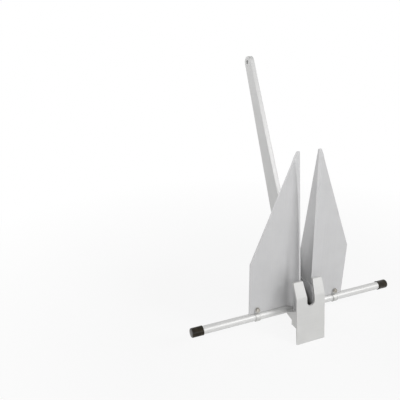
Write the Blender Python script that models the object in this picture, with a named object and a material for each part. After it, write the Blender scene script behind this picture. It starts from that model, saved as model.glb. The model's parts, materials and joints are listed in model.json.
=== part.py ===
"""Light-alloy fluke anchor, built as the take-apart assembly it is.

Two T-section flukes, two crown plates and two identical palms are threaded on one
round stock, and the shank swings on the same stock between them.

All shapes are drawn in the stock's frame: the origin is the middle of the stock, X
runs along the stock, Z up the flukes and -Y out of the front.  At the end the whole
anchor is stood on its palms, with the scene's origin under the middle of its box.
"""
from math import acos, asin, atan2, cos, hypot, pi, radians, sin, sqrt, tan

import bmesh
import bpy
from mathutils import Matrix

MM = 0.001

# ---------------------------------------------------------------- driving dimensions
# General fits
FIT = 0.35 * MM              # gap between pieces that touch or slide on each other
ROUND_SIDES = 32             # facets round the stock and its bores
SMALL_SIDES = 24             # facets round bolts, nuts, washers and sleeves

# Stock: round tube with a push-on cap at each end
STOCK_SPAN = 615 * MM        # over both caps
STOCK_RADIUS = 10.65 * MM
STOCK_WALL = 2.0 * MM
CAP_DEPTH = 32 * MM
CAP_WALL = 1.1 * MM
CAP_END = 4 * MM
CAP_ROUNDING = 4.5 * MM
CAP_LIP = 0.3 * MM           # raised lip at the cap's mouth
CAP_LIP_WIDTH = 2 * MM

# Shank: flat tapered bar with a round end at the stock and one at the shackle eye
SHANK_LENGTH = 688 * MM      # stock axis to eye
SHANK_THICKNESS = 14 * MM
SHANK_HEEL_RADIUS = 34 * MM
SHANK_EYE_END = 15.6 * MM
EYE_RADIUS = 5.6 * MM
SHANK_LEAN = radians(27)     # from the plane of the flukes, at either stop
SHANK_EDGE = 1.8 * MM        # chamfer along its edges

# Flukes: one T-section each, its stem (the flange) beside the shank
FLUKE_TIP_HEIGHT = 435 * MM
FLUKE_TIP_WIDTH = 8 * MM
FLUKE_CORNER_X = 148 * MM
FLUKE_CORNER_Z = 157 * MM
FLUKE_HEEL_X = 145 * MM
FLANGE_GAP = 13.2 * MM       # centre plane to the flange's inner face, at the stock
FLANGE_GAP_TIP = 27.3 * MM   # the same at the tip
FLANGE_THICKNESS = 4.5 * MM
FLANGE_HALF_DEPTH = 42 * MM  # at the stock
FLANGE_HALF_DEPTH_TIP = 1.8 * MM
FLANGE_DROP = 22 * MM        # how far it reaches below the stock axis
FLANGE_CHAMFER = 15 * MM
WING_THICKNESS = 3.6 * MM
WING_SEAT = 0.6 * MM         # from the stock's top to the wing's lower edge
WEB_FILLET = 18 * MM         # between wing and flange
FILLET_STEPS = 6

# Crown plates: one each side of the shank, inside the flanges
PLATE_THICKNESS = 3.6 * MM
PLATE_TOP = 84 * MM
PLATE_TOP_HALF = 38 * MM
PLATE_SETBACK = 10 * MM      # from the palm's back to the plate's edge, at the axis
PLATE_SHOULDER_Z = 50 * MM
PLATE_KNEE = 4 * MM          # the edge's step inwards over the knee
PLATE_KNEE_RISE = 11 * MM
PLATE_DROP = 26 * MM
PLATE_CHAMFER = 12 * MM

# Palms: one extrusion each, a plate with ears above and a rib behind it
PALM_HALF_WIDTH = 42.5 * MM
PALM_THICKNESS = 4.5 * MM
PALM_FOOT_THICKNESS = 3.4 * MM
PALM_FOOT_Y = 76.9 * MM
PALM_FOOT_Z = 60.8 * MM
PALM_BEND_Y = 60.0 * MM
PALM_BEND_Z = 64.0 * MM
PALM_EAR_Y = 40.0 * MM
PALM_EAR_Z = 102.5 * MM
SLOT_HALF_WIDTH = 11.3 * MM
SLOT_FLARE = 3.7 * MM        # how much each side opens at the ears' tops
SLOT_STEPS = 12
RIB_REAR = 20 * MM           # the rib's rear edge, from the stock axis
RIB_NOSE_LOW = 1.5 * MM
RIB_NOSE_HIGH = 6 * MM
RIB_STEP_Y = 45 * MM
RIB_TOP = 20 * MM
RIB_STEP_Z = 3.7 * MM        # below the axis, in front of the nose
RIB_LOW = 16.5 * MM          # below the axis, where it meets the plate
RIB_UNDERCUT = 1.2 * MM      # its underside falls this much towards the step
RIB_LAND = 0.6 * MM          # left standing on the plate where the rib is cut away
LUG_SEAT = 11.5 * MM         # length of lug that the crown bolt's nut pulls on
NUT_POCKET = 9.2 * MM        # milled into the lug for the nut
POCKET_WALL = 8 * MM         # from the bolt axis to the pocket's front

# Crown bolts: one through each palm, with a sleeve between the crown plates
CROWN_BOLT_Z = 2 * MM
SLEEVE_CLEARANCE = 5.3 * MM  # from the swinging shank
BOLT_RADIUS = 3 * MM
HEAD_ACROSS_FLATS = 10 * MM
HEAD_HEIGHT = 4 * MM
NUT_HEIGHT = 5 * MM
WASHER_RADIUS = 6 * MM
WASHER_THICKNESS = 1.2 * MM
SLEEVE_RADIUS = 5 * MM
BOLT_END = 1.2 * MM          # thread left standing past the nut
BOLT_CHAMFER = 0.6 * MM      # on the head and the thread's end

# Straps: one round the stock at each fluke's heel, bolted to the wing
STRAP_X = 122 * MM
STRAP_WIDTH = 14 * MM
STRAP_THICKNESS = 1.5 * MM
STRAP_BOLT_Z = 22 * MM
STRAP_EAR = 7 * MM           # above its bolt
STRAP_ARC_STEPS = 24         # round the whole ring

# ---------------------------------------------------------------- worked-out values
SPLAY = (FLANGE_GAP_TIP - FLANGE_GAP) / FLUKE_TIP_HEIGHT      # flange lean, x per z
FLANGE_TAPER = (FLANGE_HALF_DEPTH - FLANGE_HALF_DEPTH_TIP) / FLUKE_TIP_HEIGHT
STOCK_BORE = STOCK_RADIUS + FIT
BOLT_HOLE = BOLT_RADIUS + FIT
PLATE_OUTER = FLANGE_GAP - FIT
PLATE_INNER = PLATE_OUTER - PLATE_THICKNESS
FLANGE_OUTER = FLANGE_GAP + FLANGE_THICKNESS
WING_BOTTOM = STOCK_RADIUS + WING_SEAT
SHANK_TAPER = asin((SHANK_HEEL_RADIUS - SHANK_EYE_END) / SHANK_LENGTH)
FACE_LEAN = SHANK_LEAN - SHANK_TAPER                          # of its face at the stop
PALM_RAKE = (PALM_FOOT_Y - PALM_BEND_Y) / (PALM_FOOT_Z + PALM_BEND_Z)
PALM_FACE_Y = PALM_FOOT_Y - PALM_RAKE * PALM_FOOT_Z           # front face, at the axis
PALM_BACK_Y = PALM_FACE_Y - PALM_THICKNESS * hypot(1, PALM_RAKE)
PLATE_SHOULDER = PALM_BACK_Y - PLATE_SETBACK
CROWN_BOLT_Y = ((SHANK_HEEL_RADIUS + SLEEVE_CLEARANCE + SLEEVE_RADIUS
                 + CROWN_BOLT_Z * sin(FACE_LEAN)) / cos(FACE_LEAN))
OVERSHOOT = 5 * MM           # how far a cutter passes the faces that it cuts


def slot_floor():
    """Height of the slot's lowest point: the shank's lower face, at its stop, rests on
    the inner edge of the round floor at the shank's own half thickness."""
    contact = ((PALM_BACK_Y * cos(FACE_LEAN) - SHANK_HEEL_RADIUS - FIT)
               / (sin(FACE_LEAN) + PALM_RAKE * cos(FACE_LEAN)))
    half = min(SHANK_THICKNESS / 2, 0.98 * SLOT_HALF_WIDTH)
    return contact - SLOT_HALF_WIDTH + sqrt(SLOT_HALF_WIDTH ** 2 - half ** 2)


# ---------------------------------------------------------------- scene and helpers
for old in list(bpy.data.objects):
    bpy.data.objects.remove(old, do_unlink=True)

ANCHOR_FRAME = bpy.data.objects.new("anchor_frame", None)
bpy.context.scene.collection.objects.link(ANCHOR_FRAME)


def material(name, color, metallic, roughness):
    """A Principled surface with one colour."""
    made = bpy.data.materials.new(name)
    made.use_nodes = True
    shader = made.node_tree.nodes["Principled BSDF"]
    shader.inputs["Base Color"].default_value = (*color, 1)
    shader.inputs["Metallic"].default_value = metallic
    shader.inputs["Roughness"].default_value = roughness
    return made


def satin_alloy(name):
    return material(name + "_satin_alloy", (0.60, 0.60, 0.59), 0.85, 0.42)


def bright_tube(name):
    return material(name + "_bright_tube", (0.68, 0.68, 0.67), 0.9, 0.3)


def black_vinyl(name):
    return material(name + "_black_vinyl", (0.025, 0.023, 0.022), 0.0, 0.45)


def stainless(name):
    return material(name + "_stainless", (0.55, 0.54, 0.52), 1.0, 0.3)


def add_object(name, shape, finish, parent=ANCHOR_FRAME):
    """Put a bmesh in the scene as one named object in the stock's frame."""
    bmesh.ops.recalc_face_normals(shape, faces=shape.faces)
    mesh = bpy.data.meshes.new(name)
    shape.to_mesh(mesh)
    shape.free()
    mesh.shade_smooth()
    mesh.set_sharp_from_angle(angle=radians(30))
    thing = bpy.data.objects.new(name, mesh)
    bpy.context.scene.collection.objects.link(thing)
    thing.parent = parent
    if finish is not None:
        mesh.materials.append(finish(name))
    return thing


def cut(body, shape, name, operation="DIFFERENCE"):
    """Cut a body with a hidden solid, through a live Boolean."""
    tool = add_object(body.name + "_" + name, shape, None, body.parent)
    tool.hide_render = True
    tool.display_type = "WIRE"
    step = body.modifiers.new(name, "BOOLEAN")
    step.operation = operation
    step.solver = "EXACT"
    step.object = tool


def arc(centre, radius, start, end, steps):
    """Points on an arc, both ends included; angles run from the first axis."""
    turn = (end - start) / steps
    return [(centre[0] + radius * cos(start + turn * i),
             centre[1] + radius * sin(start + turn * i)) for i in range(steps + 1)]


def prism(outline, low, high, place):
    """Extrude a closed outline; place(u, v, w) turns its point (u, v) and the depth w
    into x, y, z."""
    shape = bmesh.new()
    rings = [[shape.verts.new(place(u, v, w)) for u, v in outline] for w in (low, high)]
    shape.faces.new(rings[0])
    shape.faces.new(reversed(rings[1]))
    count = len(outline)
    for i in range(count):
        j = (i + 1) % count
        shape.faces.new((rings[0][i], rings[0][j], rings[1][j], rings[1][i]))
    return shape


def along_x(y, z, x):
    return (x, y, z)


def along_y(x, z, y):
    return (x, y, z)


def splayed(side, offset=0.0):
    """Place a YZ outline at a distance from the centre plane that grows up the fluke,
    as the flange does; side is +1 for the right and -1 for the left."""
    def place(y, z, x):
        return (side * (x + offset + SPLAY * z), y, z)
    return place


def hexagon(flats):
    """Radius of a hexagon, by angle."""
    def radius(angle):
        return flats / 2 / cos((angle % (pi / 3)) - pi / 6)
    return radius


def circle(size):
    def radius(_angle):
        return size
    return radius


def turned(stations, sides, hollow):
    """A body of rings along its own axis: each station is (place on the axis, radius by
    angle).  A hollow body's last ring joins its first; a full one is closed by ends."""
    shape = bmesh.new()
    rings = []
    for place, radius in stations:
        ring = []
        for i in range(sides):
            angle = 2 * pi * i / sides
            size = radius(angle)
            ring.append(shape.verts.new((place, size * cos(angle), size * sin(angle))))
        rings.append(ring)
    pairs = list(zip(rings, rings[1:]))
    if hollow:
        pairs.append((rings[-1], rings[0]))
    else:
        shape.faces.new(rings[0])
        shape.faces.new(reversed(rings[-1]))
    for near, far in pairs:
        for i in range(sides):
            j = (i + 1) % sides
            shape.faces.new((near[i], near[j], far[j], far[i]))
    return shape


def rod(radius, low, high, sides=SMALL_SIDES):
    return turned([(low, circle(radius)), (high, circle(radius))], sides, False)


def pipe(inner, outer, low, high, sides=SMALL_SIDES):
    return turned([(low, circle(outer)), (high, circle(outer)),
                   (high, circle(inner)), (low, circle(inner))], sides, True)


def bolt(under_head, length):
    """Hexagon-headed bolt: head on +X, seat at under_head, shaft towards -X."""
    head = hexagon(HEAD_ACROSS_FLATS)
    top = under_head + HEAD_HEIGHT
    end = under_head - length
    return turned([(top, circle(HEAD_ACROSS_FLATS / 2 - BOLT_CHAMFER)),
                   (top - BOLT_CHAMFER, head), (under_head, head),
                   (under_head, circle(BOLT_RADIUS)),
                   (end + BOLT_CHAMFER, circle(BOLT_RADIUS)),
                   (end, circle(BOLT_RADIUS - BOLT_CHAMFER))], SMALL_SIDES, False)


def nut(low):
    """Hexagon nut standing from low towards +X."""
    outer = hexagon(HEAD_ACROSS_FLATS)
    return turned([(low, outer), (low + NUT_HEIGHT, outer),
                   (low + NUT_HEIGHT, circle(BOLT_HOLE)), (low, circle(BOLT_HOLE))],
                  SMALL_SIDES, True)


def washer(low):
    return pipe(BOLT_HOLE, WASHER_RADIUS, low, low + WASHER_THICKNESS)


def moved(shape, matrix):
    bmesh.ops.transform(shape, matrix=matrix, verts=shape.verts)
    return shape


def stock_bore(low, high):
    return rod(STOCK_BORE, low, high, ROUND_SIDES)


HALF_TURN = Matrix.Rotation(pi, 4, "Z")


# ---------------------------------------------------------------- stock and caps
def make_stock():
    half = STOCK_SPAN / 2 - CAP_END - FIT
    tube = pipe(STOCK_RADIUS - STOCK_WALL, STOCK_RADIUS, -half, half, ROUND_SIDES)
    add_object("stock_tube", tube, bright_tube)


def make_cap(name, side):
    """A cup pushed over the tube's end, its outer edge rounded, with a lip."""
    end = STOCK_SPAN / 2
    mouth = end - CAP_DEPTH
    inner = STOCK_RADIUS + FIT
    outer = inner + CAP_WALL
    stations = [(end - CAP_END, circle(inner)), (mouth, circle(inner)),
                (mouth, circle(outer + CAP_LIP)),
                (mouth + CAP_LIP_WIDTH, circle(outer + CAP_LIP)),
                (mouth + CAP_LIP_WIDTH + CAP_LIP, circle(outer))]
    centre = (end - CAP_ROUNDING, outer - CAP_ROUNDING)
    stations += [(x, circle(r)) for x, r in arc(centre, CAP_ROUNDING, pi / 2, 0, 5)]
    cup = turned(stations, ROUND_SIDES, False)
    turn = Matrix.Identity(4) if side > 0 else HALF_TURN
    add_object(name, moved(cup, turn), black_vinyl)


# ---------------------------------------------------------------- shank
def make_shank():
    """Bar outlined by two circles and their common tangents, leaning on the rear stop.
    Its parent empty lies on the stock's axis, which is the hinge."""
    hinge = bpy.data.objects.new("shank_hinge", None)
    bpy.context.scene.collection.objects.link(hinge)
    hinge.parent = ANCHOR_FRAME
    hinge.rotation_euler = (-SHANK_LEAN, 0, 0)
    outline = arc((0, SHANK_LENGTH), SHANK_EYE_END, SHANK_TAPER, pi - SHANK_TAPER, 12)
    outline += arc((0, 0), SHANK_HEEL_RADIUS, pi - SHANK_TAPER, 2 * pi + SHANK_TAPER, 20)
    half = SHANK_THICKNESS / 2
    bar = prism(outline, -half, half, along_x)
    rims = [edge for edge in bar.edges
            if abs(edge.verts[0].co.x - edge.verts[1].co.x) < FIT]
    bmesh.ops.bevel(bar, geom=rims, offset=SHANK_EDGE, segments=1, affect="EDGES")
    shank = add_object("shank", bar, satin_alloy, hinge)
    reach = half + OVERSHOOT
    cut(shank, stock_bore(-reach, reach), "stock_bore")
    eye = moved(rod(EYE_RADIUS, -reach, reach), Matrix.Translation((0, 0, SHANK_LENGTH)))
    cut(shank, eye, "shackle_eye")


# ---------------------------------------------------------------- flukes
def fluke_section():
    """Right half of the T: distance from the flange's inner face, and depth."""
    tall = FLANGE_HALF_DEPTH + OVERSHOOT
    wing = WING_THICKNESS / 2
    start = (FLANGE_THICKNESS + WEB_FILLET, -wing - WEB_FILLET)
    front = arc(start, WEB_FILLET, pi, pi / 2, FILLET_STEPS)
    wide = max(FLUKE_CORNER_X, FLUKE_HEEL_X) + OVERSHOOT
    lower = [(0, -tall), (FLANGE_THICKNESS, -tall)] + front + [(wide, -wing)]
    upper = [(x, -y) for x, y in reversed(lower)]
    return lower + upper


def make_fluke(name, side):
    low, high = -FLANGE_DROP - OVERSHOOT, FLUKE_TIP_HEIGHT + OVERSHOOT

    def place(x, y, z):
        return (side * (FLANGE_GAP + SPLAY * z + x), y, z)
    fluke = add_object(name, prism(fluke_section(), low, high, place), satin_alloy)

    tip = FLANGE_GAP_TIP + FLUKE_TIP_WIDTH
    flange_side = FLANGE_OUTER - FIT
    face = [(0, -FLANGE_DROP), (flange_side - SPLAY * FLANGE_DROP, -FLANGE_DROP),
            (flange_side + SPLAY * WING_BOTTOM, WING_BOTTOM), (FLUKE_HEEL_X, WING_BOTTOM),
            (FLUKE_CORNER_X, FLUKE_CORNER_Z), (tip, FLUKE_TIP_HEIGHT), (0, FLUKE_TIP_HEIGHT)]
    depth = FLANGE_HALF_DEPTH + 2 * OVERSHOOT
    face = [(side * x, z) for x, z in face]
    cut(fluke, prism(face, -depth, depth, along_y), "outline", "INTERSECT")

    top = FLUKE_TIP_HEIGHT + OVERSHOOT
    half = FLANGE_HALF_DEPTH
    half_top = half - FLANGE_TAPER * top
    chamfer = FLANGE_CHAMFER
    flank = [(-half + chamfer, -FLANGE_DROP), (half - chamfer, -FLANGE_DROP),
             (half, -FLANGE_DROP + chamfer), (half, 0), (half_top, top),
             (-half_top, top), (-half, 0), (-half, -FLANGE_DROP + chamfer)]
    wide = FLUKE_CORNER_X + FLUKE_HEEL_X
    cut(fluke, prism(flank, -wide, wide, along_x), "flank", "INTERSECT")

    reach = FLANGE_OUTER + OVERSHOOT
    bore = rod(STOCK_BORE, side * (FLANGE_GAP - OVERSHOOT), side * reach, ROUND_SIDES)
    cut(fluke, bore, "stock_bore")
    through = WING_THICKNESS / 2 + OVERSHOOT
    hole = moved(rod(BOLT_HOLE, -through, through), strap_bolt_place(side))
    cut(fluke, hole, "strap_hole")


# ---------------------------------------------------------------- crown plates
def make_crown_plate(name, side):
    """A plate that lies against the inside of a flange and follows its lean."""
    half, top_half = PLATE_SHOULDER, PLATE_TOP_HALF
    knee = (half - PLATE_KNEE, PLATE_SHOULDER_Z + PLATE_KNEE_RISE)
    right = [(half - PLATE_CHAMFER, -PLATE_DROP), (half, -PLATE_DROP + PLATE_CHAMFER),
             (half, PLATE_SHOULDER_Z), knee, (top_half, PLATE_TOP)]
    outline = right + [(-y, z) for y, z in reversed(right)]
    plate = add_object(name, prism(outline, PLATE_INNER, PLATE_OUTER, splayed(side)),
                       satin_alloy)
    low, high = side * (PLATE_INNER - OVERSHOOT), side * (PLATE_OUTER + OVERSHOOT)
    cut(plate, stock_bore(low, high), "stock_bore")
    for label, y in (("front", -CROWN_BOLT_Y), ("rear", CROWN_BOLT_Y)):
        place = Matrix.Translation((0, y, CROWN_BOLT_Z))
        cut(plate, moved(rod(BOLT_HOLE, low, high), place), label + "_bolt_hole")


# ---------------------------------------------------------------- palms
def palm_section():
    """The extrusion seen from the side, front palm: y is negative to the front."""
    ear_lean = (PALM_BEND_Y - PALM_EAR_Y) / (PALM_EAR_Z - PALM_BEND_Z)
    ear_width = PALM_THICKNESS * hypot(1, ear_lean)
    face_angle, ear_angle = atan2(PALM_RAKE, 1), atan2(ear_lean, 1)
    inside = PALM_THICKNESS * tan((ear_angle - face_angle) / 2)
    mitre = hypot(PALM_THICKNESS, inside)
    half_angle = (ear_angle + face_angle) / 2
    bend_back = (-PALM_BEND_Y + mitre * cos(half_angle), PALM_BEND_Z - mitre * sin(half_angle))

    def back(z):
        return -PALM_BACK_Y + PALM_RAKE * z
    foot_back = -PALM_FOOT_Y + PALM_FOOT_THICKNESS * hypot(1, PALM_RAKE)
    root_top = RIB_TOP + (PALM_BACK_Y - RIB_STEP_Y) * (RIB_TOP - RIB_NOSE_HIGH) / (
        RIB_STEP_Y - RIB_REAR)
    return [(-PALM_FOOT_Y, -PALM_FOOT_Z), (foot_back, -PALM_FOOT_Z),
            (back(-RIB_LOW), -RIB_LOW), (-RIB_STEP_Y, -RIB_LOW - RIB_UNDERCUT),
            (-RIB_STEP_Y, -RIB_STEP_Z), (-RIB_REAR, RIB_NOSE_LOW),
            (-RIB_REAR, RIB_NOSE_HIGH), (-RIB_STEP_Y, RIB_TOP),
            (back(root_top), root_top), bend_back,
            (-PALM_EAR_Y + ear_width, PALM_EAR_Z), (-PALM_EAR_Y, PALM_EAR_Z),
            (-PALM_BEND_Y, PALM_BEND_Z)]


def slot_outline():
    """U slot for the shank, open at the top and flared between the ears."""
    floor = slot_floor()
    centre = (0, floor + SLOT_HALF_WIDTH)
    bottom = arc(centre, SLOT_HALF_WIDTH, pi, 2 * pi, SLOT_STEPS)
    flare = SLOT_FLARE * (PALM_EAR_Z + OVERSHOOT - PALM_BEND_Z) / (PALM_EAR_Z - PALM_BEND_Z)
    mouth = SLOT_HALF_WIDTH + flare
    top = PALM_EAR_Z + OVERSHOOT
    return ([(-mouth, top), (-SLOT_HALF_WIDTH, PALM_BEND_Z)] + bottom
            + [(SLOT_HALF_WIDTH, PALM_BEND_Z), (mouth, top)])


def notch_solid(half_width, front_y, rear_y):
    """Cutter for the middle of the rib, its sides leaning as the flanges do."""
    low, high = -RIB_LOW - OVERSHOOT, RIB_TOP + 4 * OVERSHOOT

    def place(x, y, z):
        lean = SPLAY * z if x > 0 else -SPLAY * z
        return (x + lean, y + (PALM_RAKE * z if y < -RIB_STEP_Y else 0), z)
    outline = [(-half_width, front_y), (half_width, front_y),
               (half_width, rear_y), (-half_width, rear_y)]
    return prism(outline, low, high, place)


def make_palm(name, turn):
    half = PALM_HALF_WIDTH
    palm = add_object(name, moved(prism(palm_section(), -half, half, along_x), turn),
                      satin_alloy)
    slot = prism(slot_outline(), -PALM_FOOT_Y - OVERSHOOT, -RIB_REAR, along_y)
    cut(palm, moved(slot, turn), "shank_slot")

    land = -PALM_BACK_Y + RIB_LAND
    clear = OVERSHOOT - RIB_REAR
    plate_notch = notch_solid(PLATE_OUTER + FIT, land, clear)
    cut(palm, moved(plate_notch, turn), "plate_notch")
    flange_front = -FLANGE_HALF_DEPTH - FIT
    flange_notch = notch_solid(FLANGE_OUTER + FIT, flange_front, clear)
    cut(palm, moved(flange_notch, turn), "flange_notch")

    seat = PLATE_OUTER + LUG_SEAT
    pocket = [(-seat, -CROWN_BOLT_Y - POCKET_WALL), (-seat, clear),
              (-seat - NUT_POCKET, clear), (-seat - NUT_POCKET, -CROWN_BOLT_Y - POCKET_WALL)]

    def upright(x, y, z):
        return (x, y, z)
    tall = RIB_TOP + 3 * OVERSHOOT
    cut(palm, moved(prism(pocket, -tall, tall, upright), turn), "nut_pocket")
    hole = rod(BOLT_HOLE, -seat - NUT_POCKET / 2, half + OVERSHOOT)
    cut(palm, moved(hole, turn @ Matrix.Translation((0, -CROWN_BOLT_Y, CROWN_BOLT_Z))),
        "bolt_hole")


# ---------------------------------------------------------------- crown fasteners
def crown_stack():
    """Places along the crown bolt: washer under the head, washer and nut in the pocket,
    and the bolt's length."""
    head_washer = PALM_HALF_WIDTH + FIT
    under_head = head_washer + WASHER_THICKNESS + FIT
    nut_washer = -(PLATE_OUTER + LUG_SEAT) - FIT - WASHER_THICKNESS
    nut_low = nut_washer - FIT - NUT_HEIGHT
    length = under_head - nut_low + BOLT_END
    return head_washer, under_head, nut_washer, nut_low, length


def make_crown_fasteners():
    head_washer, under_head, nut_washer, nut_low, length = crown_stack()
    front = Matrix.Translation((0, -CROWN_BOLT_Y, CROWN_BOLT_Z))
    places = {"front": front, "rear": HALF_TURN @ front}
    lean = SPLAY * (CROWN_BOLT_Z - SLEEVE_RADIUS)
    sleeve_half = PLATE_INNER + lean - FIT
    for label, place in places.items():
        sleeve = pipe(BOLT_HOLE, SLEEVE_RADIUS, -sleeve_half, sleeve_half)
        add_object("crown_sleeve_" + label, moved(sleeve, place), satin_alloy)
        fasteners = {"crown_bolt_": bolt(under_head, length), "crown_nut_": nut(nut_low),
                     "crown_head_washer_": washer(head_washer),
                     "crown_nut_washer_": washer(nut_washer)}
        for name, shape in fasteners.items():
            add_object(name + label, moved(shape, place), stainless)


# ---------------------------------------------------------------- straps
def strap_bolt_place(side):
    """Turns a fastener's own axis from +X to the front, at a strap's bolt."""
    to_front = Matrix.Rotation(-pi / 2, 4, "Z")
    return Matrix.Translation((side * STRAP_X, 0, STRAP_BOLT_Z)) @ to_front


def strap_outline():
    """Sheet bent round the stock, both ends brought up the wing's two faces."""
    ear_inner = WING_THICKNESS / 2 + FIT
    ear_outer = ear_inner + STRAP_THICKNESS
    ring_inner = STOCK_RADIUS + FIT
    ring_outer = ring_inner + STRAP_THICKNESS
    top = STRAP_BOLT_Z + STRAP_EAR
    start_in, start_out = acos(ear_inner / ring_inner), acos(ear_outer / ring_outer)
    outer = arc((0, 0), ring_outer, start_out, -pi - start_out, STRAP_ARC_STEPS)
    inner = arc((0, 0), ring_inner, -pi - start_in, start_in, STRAP_ARC_STEPS)
    return ([(ear_inner, top), (ear_outer, top)] + outer
            + [(-ear_outer, top), (-ear_inner, top)] + inner)


def make_straps():
    under_head = WING_THICKNESS / 2 + STRAP_THICKNESS + 3 * FIT + WASHER_THICKNESS
    nut_face = -under_head
    nut_low = nut_face - NUT_HEIGHT
    length = under_head - nut_low + BOLT_END
    for label, side in (("left", -1), ("right", 1)):
        low, high = side * STRAP_X - STRAP_WIDTH / 2, side * STRAP_X + STRAP_WIDTH / 2
        strap = add_object("stock_strap_" + label,
                           prism(strap_outline(), low, high, along_x), stainless)
        place = strap_bolt_place(side)
        cut(strap, moved(rod(BOLT_HOLE, -under_head, under_head), place), "bolt_hole")
        fasteners = {"strap_bolt_": bolt(under_head, length), "strap_nut_": nut(nut_low),
                     "strap_head_washer_": washer(under_head - FIT - WASHER_THICKNESS),
                     "strap_nut_washer_": washer(nut_face + FIT)}
        for name, shape in fasteners.items():
            add_object(name + label, moved(shape, place), stainless)


# ---------------------------------------------------------------- assembly
def stand_on_palms():
    """Stand the anchor on z = 0, its origin under the middle of its box."""
    view = bpy.context.evaluated_depsgraph_get()
    places = []
    for thing in bpy.data.objects:
        if thing.type == "MESH" and not thing.hide_render:
            seen = thing.evaluated_get(view)
            places += [seen.matrix_world @ point.co for point in seen.data.vertices]
    front, rear = min(p.y for p in places), max(p.y for p in places)
    ANCHOR_FRAME.location = (0, -(front + rear) / 2, -min(p.z for p in places))
    print("stock axis at", tuple(round(v, 6) for v in ANCHOR_FRAME.location))


make_stock()
make_cap("stock_cap_left", -1)
make_cap("stock_cap_right", 1)
make_shank()
make_fluke("fluke_left", -1)
make_fluke("fluke_right", 1)
make_crown_plate("crown_plate_left", -1)
make_crown_plate("crown_plate_right", 1)
make_palm("palm_front", Matrix.Identity(4))
make_palm("palm_rear", HALF_TURN)
make_crown_fasteners()
make_straps()
stand_on_palms()
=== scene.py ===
# %% [markdown]
# # A light-alloy fluke anchor
# The construction is already there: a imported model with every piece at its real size.
# This script dresses it.  It gives each piece a fine surface and a finish, stands the
# anchor on a pale floor in soft light, and looks at it through a camera.

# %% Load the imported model
import json
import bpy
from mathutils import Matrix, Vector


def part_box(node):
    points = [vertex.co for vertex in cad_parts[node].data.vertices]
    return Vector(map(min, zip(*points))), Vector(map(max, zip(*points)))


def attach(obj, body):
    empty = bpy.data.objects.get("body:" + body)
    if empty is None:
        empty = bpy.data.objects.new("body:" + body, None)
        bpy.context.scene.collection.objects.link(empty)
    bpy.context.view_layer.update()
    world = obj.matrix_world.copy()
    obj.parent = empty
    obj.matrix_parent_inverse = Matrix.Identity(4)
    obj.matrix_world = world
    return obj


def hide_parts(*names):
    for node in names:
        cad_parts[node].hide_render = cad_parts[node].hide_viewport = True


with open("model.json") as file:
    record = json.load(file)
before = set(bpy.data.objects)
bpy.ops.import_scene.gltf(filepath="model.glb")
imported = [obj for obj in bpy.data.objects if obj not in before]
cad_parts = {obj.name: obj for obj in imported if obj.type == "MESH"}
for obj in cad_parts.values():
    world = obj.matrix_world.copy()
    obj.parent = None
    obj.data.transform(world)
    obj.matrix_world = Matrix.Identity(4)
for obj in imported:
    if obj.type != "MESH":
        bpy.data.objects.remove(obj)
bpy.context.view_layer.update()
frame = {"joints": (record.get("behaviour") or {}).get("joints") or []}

# %% [markdown]
# Lengths are written in millimetres times MM, because Blender counts in metres.  The
# anchor has two bodies: the crown stands still, and the shank swings.  Pieces that touch
# or slide on each other are made a little apart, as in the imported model.

# %% The tools of the lesson
import bmesh
import bpy
import numpy as np
from mathutils import Vector

MM = 0.001
FIT = 0.35 * MM
CROWN, SHANK = "crown", "shank"
print(f"gap between pieces that touch: {FIT / MM:.2f} mm")

# %% [markdown]
# ## Where things are
# Everything on this anchor is threaded on its stock, so the stock's middle is the natural
# place to measure from.  It is also the hinge of the shank, and the record states it.
# Shapes below are drawn in the stock's frame: X along the stock, -Y to the front, Z up.

# %% The stock's frame
hinge = frame["joints"][0]
STOCK = np.array(hinge["pos_m"])
print("stock axis at", STOCK.round(4))


def node_size(node):
    """A node's size in metres, and its middle from the stock's middle."""
    low, high = (np.array(corner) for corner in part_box(node))
    return high - low, (high + low) / 2 - STOCK


# %% [markdown]
# ## From a grid of points to a piece
# Every surface here is a function of two parameters, worked out on a grid.  A grid of
# n rows and m columns gives (n - 1)(m - 1) four-sided faces, and one more row or column
# of them where the grid closes on itself.

# %% Grid faces
def grid_faces(rows, columns, close_rows=False, close_columns=False):
    """Four corner numbers for each cell of a grid, as one integer array."""
    numbers = np.arange(rows * columns).reshape(rows, columns)
    if close_rows:
        numbers = np.vstack([numbers, numbers[:1]])
    if close_columns:
        numbers = np.hstack([numbers, numbers[:, :1]])
    corners = (numbers[:-1, :-1], numbers[:-1, 1:], numbers[1:, 1:], numbers[1:, :-1])
    return np.stack(corners, axis=-1).reshape(-1, 4)


# %% [markdown]
# A grid often closes on a pole or runs two rows together, so the mesh is cleaned after it
# is made: equal points are merged, flat slivers go, and the faces are turned outwards.
# A small bevel with hardened normals then takes the sharpness off each real edge.  Where
# the rows of a grid lie close together, Blender keeps it narrower than the width asked.

# %% Points and faces to a named piece
MERGE = 0.004 * MM
EDGE_ANGLE = np.radians(34)


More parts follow.
